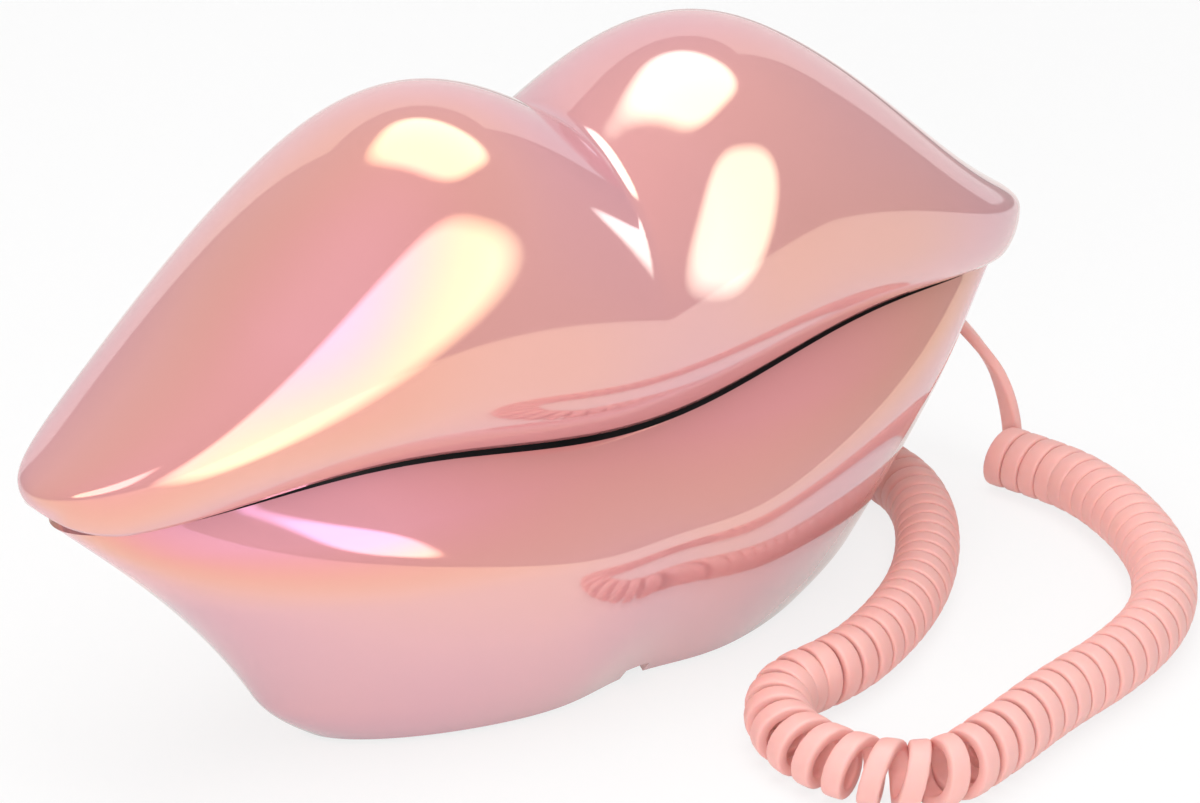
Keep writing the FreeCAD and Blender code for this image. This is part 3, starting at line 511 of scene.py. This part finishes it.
def key_ink():
    """Printed figures."""
    ink = Shader("key_ink")
    mask = ink.grain(2000.0, 0.05, 0.0001, 0.5, 0.6)
    tone = tuple(colours().ink)
    thin_print = tuple(1.6 * c for c in tone)
    ink.link(ink.mix_colours(mask, tone, thin_print), ink.bsdf.inputs["Base Color"])
    return ink.material


def plain_finish(name, low, high, rough, grain_scale, metallic=0.0):
    """Finish of an inner part: two near tones, grain and uneven gloss."""
    finish = Shader(name)
    mask = finish.grain(grain_scale, 0.15, 0.0002, rough, rough + 0.15)
    finish.link(finish.mix_colours(mask, low, high), finish.bsdf.inputs["Base Color"])
    finish.set(Metallic=metallic)
    return finish.material


# Operators


class LIPS_OT_stage(bpy.types.Operator):
    """Table top, white sweep, lamps, reflection cards and the camera of the photo"""

    bl_idname = "lips.stage"
    bl_label = "Stage"

    def execute(self, context):
        scene = context.scene
        self.camera(scene)
        white = self.studio_white()
        self.table("table_top", (-1.5, -0.40, 0.0), (0.5, 3.0, 0.0), white)
        self.table("table_round", (-3.0, -3.0, -0.0003), (3.0, 3.0, -0.0003), white).visible_glossy = False
        self.sweep(white)
        self.world(scene)
        self.lamp("overhead", (-0.05, -0.08, 0.95), (-0.05, -0.08, 0.0), (0.58, 1.05), 6.0)
        self.lamp("left", (-0.75, -0.62, 0.34), (-0.05, 0.0, 0.07), (0.30, 0.40), 3.5)
        self.lamp("front", (0.30, -0.95, 0.35), (0.0, 0.0, 0.35), (0.76, 1.20), 1.6)
        self.card("overhead", (0.24, -0.08, 0.95), (0.24, -0.08, 0.0), 29.4, (0.60, 1.08), 3.7)
        self.card("left", (-0.78, -0.49, 0.40), (-0.10, -0.01, 0.065), 0.0, (0.55, 0.36), 3.5)
        near_left = self.card(
            "near_left", (-0.062, -0.10, 0.095), (-0.062, 0.0, 0.095), -50.0, (0.094, 0.184), 3.5)
        near_right = self.card(
            "near_right", (0.030, -0.045, 0.094), (0.030, 0.0, 0.094), -25.0, (0.026, 0.048), 2.9)
        low = self.card("low", (-0.06, -1.00, 0.25), (0.0, 0.0, 0.05), 0.0, (0.30, 0.38), 4.0)
        receivers = bpy.data.collections.new("near_card_receivers")
        for card in (near_left, near_right):
            card.light_linking.receiver_collection = receivers
        low.light_linking.receiver_collection = bpy.data.collections.new("low_card_receivers")
        scene.view_settings.view_transform = "Standard"
        return {"FINISHED"}

    def camera(self, scene):
        camera = bpy.data.cameras.new("photo_camera")
        camera.sensor_width = SENSOR_WIDTH
        camera.lens = PHOTO_FOCAL / PHOTO_WIDTH * SENSOR_WIDTH
        camera.clip_start = 0.01
        holder = bpy.data.objects.new("photo_camera", camera)
        holder.location = CAMERA_PLACE
        holder.rotation_euler = (CAMERA_AIM - CAMERA_PLACE).to_track_quat("-Z", "Y").to_euler()
        scene.collection.objects.link(holder)
        scene.camera = holder

    def studio_white(self):
        """White that the camera and reflections see as white, with a part of the shadow kept."""
        paint = Shader("studio_white")
        paint.set(Roughness=0.9, Specular_IOR_Level=0.1, Base_Color=(*colours().floor, 1.0))
        glow = paint.add("ShaderNodeEmission")
        rays = paint.add("ShaderNodeLightPath")
        plain_share, mirrored_share = 0.8, 0.62
        mix = paint.add("ShaderNodeMixShader")
        direct = paint.maths("MAXIMUM", rays.outputs["Is Camera Ray"], rays.outputs["Is Transmission Ray"])
        mirrored = paint.maths("MULTIPLY", rays.outputs["Is Glossy Ray"], mirrored_share)
        plain = paint.maths("MULTIPLY", direct, plain_share)
        paint.link(paint.maths("MAXIMUM", plain, mirrored), mix.inputs[0])
        paint.link(paint.bsdf.outputs[0], mix.inputs[1])
        paint.link(glow.outputs[0], mix.inputs[2])
        side = paint.add("ShaderNodeNewGeometry")
        clear = paint.add("ShaderNodeBsdfTransparent")
        face = paint.add("ShaderNodeMixShader")
        paint.link(side.outputs["Backfacing"], face.inputs[0])
        paint.link(mix.outputs[0], face.inputs[1])
        paint.link(clear.outputs[0], face.inputs[2])
        paint.link(face.outputs[0], paint.tree.nodes["Material Output"].inputs["Surface"])
        return paint.material

    def table(self, name, low, high, white):
        """Level table between two corners."""
        bm = bmesh.new()
        bmesh.ops.create_grid(bm, x_segments=1, y_segments=1, size=0.5)
        bmesh.ops.scale(bm, vec=Vector(high) - Vector(low), verts=bm.verts)
        bmesh.ops.translate(bm, vec=(Vector(low) + Vector(high)) / 2, verts=bm.verts)
        table = add_piece(name, bm, white)
        return table

    def sweep(self, white):
        """Curved white wall behind the object, clear from outside."""
        bm = bmesh.new()
        reach, forward, height = 1.095, 0.1, 1.3
        foot = bm.verts.new((reach, forward, 0.0))
        top = bm.verts.new((reach, forward, height))
        bm.edges.new((foot, top))
        bmesh.ops.spin(bm, geom=bm.verts[:] + bm.edges[:], cent=(0, 0, 0), axis=(0, 0, 1),
                       angle=math.radians(95), steps=24)
        bmesh.ops.recalc_face_normals(bm, faces=bm.faces)
        if bm.faces[0].normal.dot(bm.faces[0].calc_center_median()) > 0:
            bmesh.ops.reverse_faces(bm, faces=bm.faces)
        wall = add_piece("white_sweep", bm, white)
        wall.visible_shadow = False

    def world(self, scene):
        """Dim room that the camera itself sees as white."""
        world = bpy.data.worlds.new("studio")
        world.use_nodes = True
        tree = world.node_tree
        rays = tree.nodes.new("ShaderNodeLightPath")
        seen = tree.nodes.new("ShaderNodeMath")
        seen.operation = "MAXIMUM"
        level = tree.nodes.new("ShaderNodeMapRange")
        room_light, seen_white = 0.4, 1.0
        level.inputs[3].default_value = room_light
        level.inputs[4].default_value = seen_white
        tree.links.new(rays.outputs["Is Camera Ray"], seen.inputs[0])
        tree.links.new(rays.outputs["Is Transmission Ray"], seen.inputs[1])
        tree.links.new(seen.outputs[0], level.inputs[0])
        tree.links.new(level.outputs[0], tree.nodes["Background"].inputs["Strength"])
        tree.nodes["Background"].inputs["Color"].default_value = (1.0, 1.0, 1.0, 1.0)
        scene.world = world

    def facing(self, place, aim, turn=0.0):
        """Pose at a place that looks at an aim, turned about that line in degrees."""
        way = (Vector(aim) - Vector(place)).to_track_quat("-Z", "Y").to_matrix().to_4x4()
        return Matrix.Translation(place) @ way @ Matrix.Rotation(math.radians(turn), 4, "Z")

    def lamp(self, name, place, aim, span, watts):
        """Soft light on the object, whose reflection a card shows."""
        light = bpy.data.lights.new(name + "_lamp", "AREA")
        light.shape = "RECTANGLE"
        light.size = span[0]
        light.size_y = span[1]
        light.energy = watts
        holder = bpy.data.objects.new(name + "_lamp", light)
        holder.matrix_world = self.facing(place, aim)
        holder.visible_glossy = False
        bpy.context.scene.collection.objects.link(holder)

    def card(self, name, place, aim, turn, span, glow):
        """Soft-edged card that only reflections show."""
        bm = bmesh.new()
        bmesh.ops.create_grid(bm, x_segments=1, y_segments=1, size=1.0)
        card = add_piece(name + "_card", bm, self.card_glow(name, glow))
        half_span = Matrix.Diagonal((span[0] / 2, span[1] / 2, 1.0, 1.0))
        card.matrix_world = self.facing(place, aim, turn) @ half_span
        card.visible_diffuse = False
        card.visible_camera = False
        card.visible_shadow = False
        return card

    def card_glow(self, name, glow):
        """Light that fades towards a rounded outline on a clear card."""
        paint = Shader(name + "_card")
        split = paint.add("ShaderNodeSeparateXYZ")
        paint.link(paint.coordinates(), split.inputs[0])
        across = paint.maths("POWER", paint.maths("ABSOLUTE", split.outputs[0]), 3.0)
        up = paint.maths("POWER", paint.maths("ABSOLUTE", split.outputs[1]), 3.0)
        fade = paint.remap(paint.maths("ADD", across, up), 0.45, 1.0, glow, 0.0)
        light = paint.add("ShaderNodeEmission")
        clear = paint.add("ShaderNodeBsdfTransparent")
        both = paint.add("ShaderNodeAddShader")
        paint.link(fade, light.inputs["Strength"])
        paint.link(light.outputs[0], both.inputs[0])
        paint.link(clear.outputs[0], both.inputs[1])
        paint.link(both.outputs[0], paint.tree.nodes["Material Output"].inputs["Surface"])
        return paint.material


class LIPS_OT_cord(bpy.types.Operator):
    """Flat curly cord from the handset to the base"""

    bl_idname = "lips.cord"
    bl_label = "Curly cord"

    TAIL_LIE = Vector((-0.6, -0.8, 0.0))

    def execute(self, context):
        s = context.scene.cord_sizes
        curls, widths = self.wind(self.even_line(CURL_ROUTE, CURL_STEP), s)
        entry = (curls[1] - curls[0]).normalized()
        fall = self.even_line([*HANDSET_TAIL, curls[0] - entry * s.tail_drop, curls[0]], TAIL_STEP)
        away = self.even_line([curls[-1], *BASE_TAIL], TAIL_STEP)
        path = fall[:-1] + curls + away[1:]
        widths = self.tail_widths(fall, widths[0], s) + widths + [-self.TAIL_LIE] * (len(away) - 1)
        piece = self.ribbon(path, widths, s)
        run = sum((b - a).length for a, b in zip(path, path[1:]))
        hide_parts("cord_curls", "cord_tail_handset", "cord_tail_base")
        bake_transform(piece)
        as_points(path[::2])
        return {"FINISHED"}

    def even_line(self, points, step):
        """The smooth line that the points pull along, in even steps."""
        curve = bpy.data.curves.new("cord_route", "CURVE")
        curve.dimensions = "3D"
        curve.resolution_u = 32
        spline = curve.splines.new("NURBS")
        spline.points.add(len(points) - 1)
        for knot, place in zip(spline.points, points):
            knot.co = (*place, 1.0)
        spline.order_u = 3
        spline.use_endpoint_u = True
        guide = bpy.data.objects.new("cord_route", curve)
        mesh = bpy.data.meshes.new_from_object(guide)
        line = [v.co.copy() for v in mesh.vertices]
        bpy.data.meshes.remove(mesh)
        bpy.data.objects.remove(guide)
        bpy.data.curves.remove(curve)
        even = [line[0]]
        left = step
        for a, b in zip(line, line[1:]):
            run = (b - a).length
            gone = 0.0
            while run - gone >= left:
                gone += left
                even.append(a.lerp(b, gone / run))
                left = step
            left -= run - gone
        even[-1] = line[-1]
        return even

    def wind(self, axis, s):
        """Centre line of the curls and the way the flat cord's width points at each place."""
        step = (axis[1] - axis[0]).length
        run = (len(axis) - 1) * step
        turn = 0.0
        due = 0.0
        path, widths = [], []
        for i in range(len(axis)):
            along = (axis[min(i + 1, len(axis) - 1)] - axis[max(i - 1, 0)]).normalized()
            ease = min(1.0, (run - i * step) / s.curl_ease)
            swell = ease * ease * (3 - 2 * ease)
            if turn >= due or i == len(axis) - 1:
                side = Vector((0, 0, 1)).cross(along).normalized()
                angle = -2 * math.pi * turn
                out = side * math.cos(angle) + along.cross(side) * math.sin(angle)
                path.append(axis[i] + out * (s.curl_radius * swell))
                widths.append(along * swell - self.TAIL_LIE * (1 - swell))
                due += 1 / STEPS_PER_CURL
            bump = math.exp(-((i * step / run - s.curl_open_middle) / s.curl_open_width) ** 2)
            pitch = s.curl_pitch + (s.curl_pitch_open - s.curl_pitch) * bump
            turn += step / (pitch * (1 + s.curl_ease_stretch * (1 - ease)))
        return path, widths

    def tail_widths(self, fall, width, s):
        """Ways of the width along the handset's tail, turning into the first curl's."""
        widths = []
        for i in range(len(fall) - 1):
            gone = min(1.0, (len(fall) - 1 - i) * TAIL_STEP / s.tail_twist)
            lie = gone * gone * (3 - 2 * gone)
            widths.append(width * (1 - lie) + self.TAIL_LIE * lie)
        return widths

    def ribbon(self, path, widths, s):
        """Flat tube with rounded edges along the centre line."""
        frames = []
        for i, centre in enumerate(path):
            ahead = (path[min(i + 1, len(path) - 1)] - path[max(i - 1, 0)]).normalized()
            wide = (widths[i] - ahead * widths[i].dot(ahead)).normalized()
            frames.append((centre, wide, ahead.cross(wide)))
        last = len(path) - 1
        squareness = 0.45

        def place(along, around):
            centre, wide, thick = frames[round(along * last)]
            angle = 2 * math.pi * around
            across = power(math.cos(angle), squareness) * s.ribbon_width / 2
            deep = power(math.sin(angle), squareness) * s.ribbon_thick / 2
            return centre + wide * across + thick * deep

        bm = laid_grid(last, RIBBON_SIDES, place)
        bmesh.ops.holes_fill(bm, edges=[e for e in bm.edges if e.is_boundary], sides=0)
        bmesh.ops.recalc_face_normals(bm, faces=bm.faces)
        return add_piece("curly_cord", bm, cord_vinyl())


class LIPS_OT_upper_lip(bpy.types.Operator):
    """Upper lip shell of the handset"""

    bl_idname = "lips.upper_lip"
    bl_label = "Upper lip"

    def execute(self, context):
        pearl = pearl_gloss("pearl_upper", thin=236.0, thick=300.0, seam=0.0)
        lip = add_piece("upper_lip", laid_grid(*UPPER_GRID, upper_point), pearl)
        thicken(lip)
        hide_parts("handset_shell")
        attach(lip, "handset")
        return {"FINISHED"}


class LIPS_OT_lower_lip(bpy.types.Operator):
    """Lower lip shell of the base, with its rear openings and the notch under the chin"""

    bl_idname = "lips.lower_lip"
    bl_label = "Lower lip"

    def execute(self, context):
        s = sizes()
        pearl = pearl_gloss("pearl_lower", thin=225.0, thick=250.0, seam=80.0)
        lip = add_piece("lower_lip", laid_grid(*LOWER_GRID, lower_point), pearl)
        thicken(lip)
        play = 0.0004
        travel = 0.0035
        inside, outside = 0.02, 0.06
        jack_low, jack_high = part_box("line_jack")
        knob_low, knob_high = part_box("ringer_knob")
        half_notch = s.chin_notch / 2
        chin = -s.foot_half_depth + s.foot_forward
        cut_away(lip, [
            box_cutter("jack_window", (jack_low.x - play, inside, jack_low.z - play),
                       (jack_high.x + play, outside, jack_high.z + play)),
            box_cutter("knob_slot", (knob_low.x - travel, inside, knob_low.z - play),
                       (knob_high.x + travel, outside, knob_high.z + play)),
            box_cutter("chin_notch", (-half_notch, chin - 0.01, -0.001),
                       (half_notch, chin + 0.012, s.foot_gap + s.chin_notch_height))])
        lip.data.set_sharp_from_angle(angle=math.radians(40))
        kept_off = bpy.data.collections["near_card_receivers"]
        kept_off.objects.link(lip)
        kept_off.collection_objects[0].light_linking.link_state = "EXCLUDE"
        bpy.data.collections["low_card_receivers"].objects.link(lip)
        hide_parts("base_shell")
        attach(lip, "base")
        return {"FINISHED"}


class LIPS_OT_keys(bpy.types.Operator):
    """Key caps with their plain figures"""

    bl_idname = "lips.keys"
    bl_label = "Keys"

    FIGURES = {"star": "*", "hash": "#", "redial": "R", "mute": "M", "flash": "F"}

    def execute(self, context):
        plastic, ink = key_plastic(), key_ink()
        for node in frame["nodes"]:
            if node.startswith("key_"):
                name = node[len("key_"):]
                self.cap(node, name, plastic)
                self.figure(node, name, ink)
        return {"FINISHED"}

    def cap(self, node, name, plastic):
        """Cap with soft edges over its flange."""
        low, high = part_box(node)
        flange, flange_thick = 0.0008, 0.001
        corner, soft_edge = 0.0016, 0.0005
        bm = bmesh.new()
        bmesh.ops.create_cube(bm, size=1.0)
        size = high - low - Vector((2 * flange, 2 * flange, flange_thick))
        bmesh.ops.scale(bm, vec=size, verts=bm.verts)
        upright = [e for e in bm.edges if abs((e.verts[0].co - e.verts[1].co).z) > 1e-6]
        bmesh.ops.bevel(bm, geom=upright, offset=corner, affect="EDGES", segments=5, profile=0.5, material=-1)
        face = [f for f in bm.faces if f.normal.z < -0.9]
        rim = [e for f in face for e in f.edges]
        bmesh.ops.bevel(bm, geom=rim, offset=soft_edge, affect="EDGES", segments=3, profile=0.5, material=-1)
        centre = (low + high) / 2
        bmesh.ops.translate(bm, vec=(centre.x, centre.y, low.z + size.z / 2), verts=bm.verts)
        plate = bmesh.ops.create_cube(bm, size=1.0)["verts"]
        bmesh.ops.scale(bm, vec=(high.x - low.x, high.y - low.y, flange_thick), verts=plate)
        bmesh.ops.translate(bm, vec=(centre.x, centre.y, high.z - flange_thick / 2), verts=plate)
        cap = add_piece("cap_" + name, bm, plastic)
        cap.data.set_sharp_from_angle(angle=math.radians(45))
        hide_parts(node)
        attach(cap, "button_" + name)

    def figure(self, node, name, ink):
        """Printed figure, read with the ear end up."""
        low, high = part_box(node)
        text = bpy.data.curves.new("figure_" + name, "FONT")
        text.body = self.FIGURES.get(name, name)
        text.size = 0.0046
        text.align_x = "CENTER"
        text.align_y = "CENTER"
        text.extrude = 0.00004
        holder = bpy.data.objects.new("figure_" + name, text)
        mesh = bpy.data.meshes.new_from_object(holder)
        bpy.data.objects.remove(holder)
        centre = (low + high) / 2
        turn = Matrix(((0, -1, 0), (-1, 0, 0), (0, 0, -1))).to_4x4()
        mesh.transform(Matrix.Translation((centre.x, centre.y, low.z)) @ turn)
        mesh.materials.clear()
        mesh.materials.append(ink)
        figure = bpy.data.objects.new("figure_" + name, mesh)
        bpy.context.scene.collection.objects.link(figure)
        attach(figure, "button_" + name)


class LIPS_OT_inner_parts(bpy.types.Operator):
    """Finishes of the parts that keep their CAD shape"""

    bl_idname = "lips.inner_parts"
    bl_label = "Inner parts"

    def execute(self, context):
        finishes = {
            "black_plastic": black_moulding(),
            "cord_pink": cord_vinyl(),
            "circuit_board": plain_finish(
                "solder_mask", (0.02, 0.16, 0.06), (0.03, 0.22, 0.08), 0.3, 700.0),
            "silicone": plain_finish(
                "silicone", (0.55, 0.55, 0.54), (0.63, 0.63, 0.62), 0.6, 900.0),
            "foot_rubber": plain_finish(
                "foot_rubber", (0.02, 0.02, 0.02), (0.035, 0.035, 0.035), 0.7, 1200.0),
            "steel": plain_finish(
                "zinc_steel", (0.55, 0.55, 0.56), (0.68, 0.68, 0.7), 0.25, 1500.0, metallic=1.0),
            "speaker_metal": plain_finish(
                "speaker_frame", (0.1, 0.1, 0.11), (0.16, 0.16, 0.17), 0.4, 1000.0),
            "jack_plastic": plain_finish(
                "jack_nylon", (0.75, 0.73, 0.66), (0.8, 0.78, 0.72), 0.45, 1200.0),
        }
        for entry in frame["record"]["subparts"]:
            mesh = frame["nodes"][entry["node"]].data
            finish = finishes.get(entry["material_slot"])
            if finish:
                mesh.materials.clear()
                mesh.materials.append(finish)
        return {"FINISHED"}


class LIPS_PT_panel(bpy.types.Panel):
    """Sidebar list of the telephone's pieces"""

    bl_idname = "LIPS_PT_panel"
    bl_label = "Lips Telephone"
    bl_space_type = "VIEW_3D"
    bl_region_type = "UI"
    bl_category = "Lips Telephone"

    def draw(self, context):
        for operator in OPERATORS:
            self.layout.operator(operator.bl_idname)


OPERATORS = [
    LIPS_OT_stage, LIPS_OT_cord, LIPS_OT_upper_lip, LIPS_OT_lower_lip, LIPS_OT_keys, LIPS_OT_inner_parts]
CLASSES = [LipsSizes, CordSizes, LipsColours, *OPERATORS, LIPS_PT_panel]


def register():
    for cls in CLASSES:
        bpy.utils.register_class(cls)
    bpy.types.Scene.lips_sizes = bpy.props.PointerProperty(type=LipsSizes)
    bpy.types.Scene.cord_sizes = bpy.props.PointerProperty(type=CordSizes)
    bpy.types.Scene.lips_colours = bpy.props.PointerProperty(type=LipsColours)


def unregister():
    del bpy.types.Scene.lips_colours
    del bpy.types.Scene.cord_sizes
    del bpy.types.Scene.lips_sizes
    for cls in reversed(CLASSES):
        bpy.utils.unregister_class(cls)


def main():
    register()
    bpy.ops.lips.stage()
    bpy.ops.lips.cord()
    bpy.ops.lips.upper_lip()
    bpy.ops.lips.lower_lip()
    bpy.ops.lips.keys()
    bpy.ops.lips.inner_parts()


if __name__ == "__main__":
    main()
